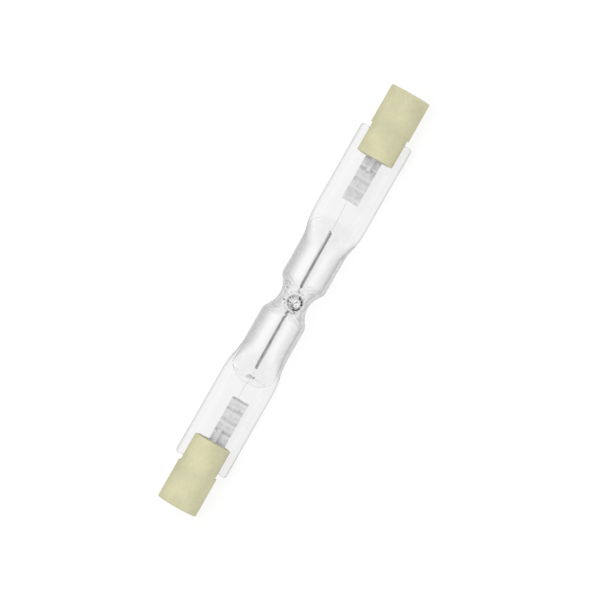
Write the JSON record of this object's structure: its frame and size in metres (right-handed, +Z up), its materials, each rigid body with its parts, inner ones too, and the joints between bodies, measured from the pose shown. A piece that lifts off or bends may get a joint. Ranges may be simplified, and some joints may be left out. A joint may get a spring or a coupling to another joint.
{
  "type": "linear halogen bulb",
  "caption": "Quartz tube with a necked middle, a filament inside, a flat pinch seal at each end and ceramic end caps with recessed contacts.",
  "frame": {"origin": "on the table under the middle of the bulb, which lies on its tube and on one rail of each seal", "axes": "+X along the bulb towards the end with the shorter dark seal wire inside the hollow, +Z up from the table; the exhaust tip leans towards -Y"},
  "size_m": [0.0782, 0.0082, 0.008],
  "materials": {
    "quartz": "clear polished",
    "tungsten": "satin",
    "molybdenum": "satin",
    "contact_metal": "satin",
    "cement": "matt",
    "steatite": "matt"
  },
  "bodies": {
    "root": {"envelope": "quartz", "filament": "tungsten", "right_inner_lead": "tungsten", "left_inner_lead": "tungsten", "right_foil": "molybdenum", "left_foil": "molybdenum", "right_outer_lead": "molybdenum", "left_outer_lead": "molybdenum", "right_contact": "contact_metal", "left_contact": "contact_metal", "right_cement": "cement", "left_cement": "cement", "right_cap": "steatite", "left_cap": "steatite"}
  },
  "joints": []
}
